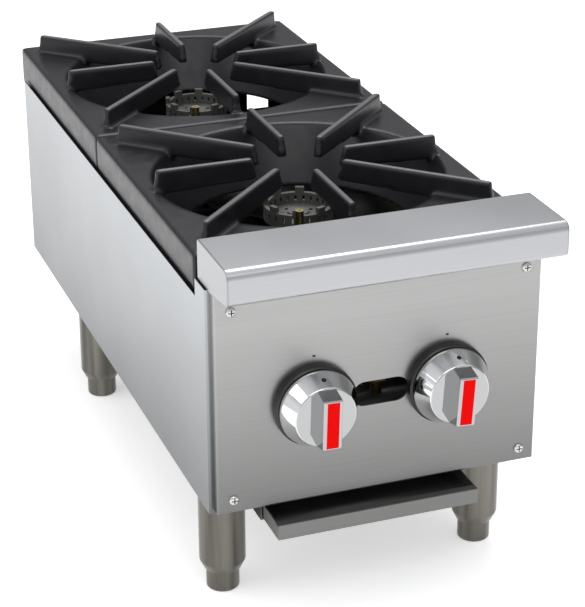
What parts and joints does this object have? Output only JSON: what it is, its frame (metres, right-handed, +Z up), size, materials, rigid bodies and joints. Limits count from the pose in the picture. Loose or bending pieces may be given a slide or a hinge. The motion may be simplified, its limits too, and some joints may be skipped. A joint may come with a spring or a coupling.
{
  "type": "countertop gas hotplate",
  "caption": "Countertop gas hotplate with in-line cast-iron bowl grates, stainless body, bull-nose ledge, chrome knobs, sliding drip tray and adjustable legs.",
  "frame": {"origin": "on the counter under the middle of the bounding box", "axes": "+Z up, front with the knobs towards -Y, +X to the right as one faces the front"},
  "size_m": [0.305, 0.719, 0.354],
  "materials": {
    "stainless": "brushed",
    "plain_steel": "mill",
    "iron": "satin black enamel",
    "black_pipe": "satin",
    "brass": "machined",
    "tubing": "drawn",
    "chrome": "polished",
    "red": "gloss",
    "black_plastic": "satin",
    "nickel": "satin nickel",
    "foot_steel": "satin nickel"
  },
  "bodies": {
    "frame_body": {"back_panel": "stainless", "front_burner_body": "iron", "front_burner_head": "iron", "front_burner_support": "plain_steel", "front_ledge": "stainless", "front_left_leg": "nickel", "front_leg_rail": "plain_steel", "front_panel": "stainless", "front_pilot_burner": "brass", "front_pilot_tube": "tubing", "front_right_leg": "nickel", "gas_manifold": "black_pipe", "inlet_pipe": "black_pipe", "ledge_left_cap": "stainless", "ledge_right_cap": "stainless", "left_grate_rail": "plain_steel", "left_knob_bezel": "black_plastic", "left_orifice": "brass", "left_pilot_valve": "brass", "left_side_panel": "stainless", "left_tray_runner": "plain_steel", "left_valve_body": "brass", "leg_nuts": "plain_steel", "manifold_brackets": "plain_steel", "manifold_elbow": "black_pipe", "panel_screws": "plain_steel", "rear_burner_body": "iron", "rear_burner_head": "iron", "rear_burner_support": "plain_steel", "rear_left_leg": "nickel", "rear_leg_rail": "plain_steel", "rear_pilot_burner": "brass", "rear_pilot_tube": "tubing", "rear_right_leg": "nickel", "rear_top_rail": "plain_steel", "right_grate_rail": "plain_steel", "right_knob_bezel": "black_plastic", "right_orifice": "brass", "right_pilot_valve": "brass", "right_side_panel": "stainless", "right_tray_runner": "plain_steel", "right_valve_body": "brass", "upper_back_panel": "stainless"},
    "left_knob_turning": {"left_knob": "chrome", "left_knob_stripe": "red", "left_valve_stem": "plain_steel"},
    "right_knob_turning": {"right_knob": "chrome", "right_knob_stripe": "red", "right_valve_stem": "plain_steel"},
    "tray": {"drip_tray": "stainless"},
    "front_grate_lifted": {"front_grate": "iron"},
    "rear_grate_lifted": {"rear_grate": "iron"},
    "front_shutter": {"front_air_shutter": "plain_steel"},
    "rear_shutter": {"rear_air_shutter": "plain_steel"},
    "left_pilot_adjuster": {"left_pilot_screw": "brass"},
    "right_pilot_adjuster": {"right_pilot_screw": "brass"},
    "front_left_foot_screw": {"front_left_foot": "foot_steel"},
    "front_right_foot_screw": {"front_right_foot": "foot_steel"},
    "rear_left_foot_screw": {"rear_left_foot": "foot_steel"},
    "rear_right_foot_screw": {"rear_right_foot": "foot_steel"}
  },
  "joints": [
    {"name": "left_knob_turn", "type": "hinge", "parent": "frame_body", "child": "left_knob_turning", "pos_m": [-0.061, -0.33, 0.204], "axis": [0, -1, 0], "range_deg": [0, 90]},
    {"name": "right_knob_turn", "type": "hinge", "parent": "frame_body", "child": "right_knob_turning", "pos_m": [0.061, -0.33, 0.204], "axis": [0, -1, 0], "range_deg": [0, 90]},
    {"name": "tray_slide", "type": "slide", "parent": "frame_body", "child": "tray", "axis": [0, -1, 0], "range_m": [0, 0.45]},
    {"name": "front_grate_lift", "type": "slide", "parent": "frame_body", "child": "front_grate_lifted", "axis": [0, 0, 1], "range_m": [0, 0.12]},
    {"name": "rear_grate_lift", "type": "slide", "parent": "frame_body", "child": "rear_grate_lifted", "axis": [0, 0, 1], "range_m": [0, 0.12]},
    {"name": "front_shutter_turn", "type": "hinge", "parent": "frame_body", "child": "front_shutter", "pos_m": [-0.061, -0.23, 0.204], "axis": [0, -1, 0], "range_deg": [0, 60]},
    {"name": "rear_shutter_turn", "type": "hinge", "parent": "frame_body", "child": "rear_shutter", "pos_m": [0.061, -0.23, 0.204], "axis": [0, -1, 0], "range_deg": [0, 60]},
    {"name": "left_pilot_adjust", "type": "hinge", "parent": "frame_body", "child": "left_pilot_adjuster", "pos_m": [-0.012, -0.28, 0.204], "axis": [0, -1, 0], "range_deg": [-180, 180]},
    {"name": "right_pilot_adjust", "type": "hinge", "parent": "frame_body", "child": "right_pilot_adjuster", "pos_m": [0.012, -0.28, 0.204], "axis": [0, -1, 0], "range_deg": [-180, 180]},
    {"name": "front_left_foot_height", "type": "slide", "parent": "frame_body", "child": "front_left_foot_screw", "axis": [0, 0, 1], "range_m": [-0.015, 0.014]},
    {"name": "front_right_foot_height", "type": "slide", "parent": "frame_body", "child": "front_right_foot_screw", "axis": [0, 0, 1], "range_m": [-0.015, 0.014]},
    {"name": "rear_left_foot_height", "type": "slide", "parent": "frame_body", "child": "rear_left_foot_screw", "axis": [0, 0, 1], "range_m": [-0.015, 0.014]},
    {"name": "rear_right_foot_height", "type": "slide", "parent": "frame_body", "child": "rear_right_foot_screw", "axis": [0, 0, 1], "range_m": [-0.015, 0.014]}
  ]
}
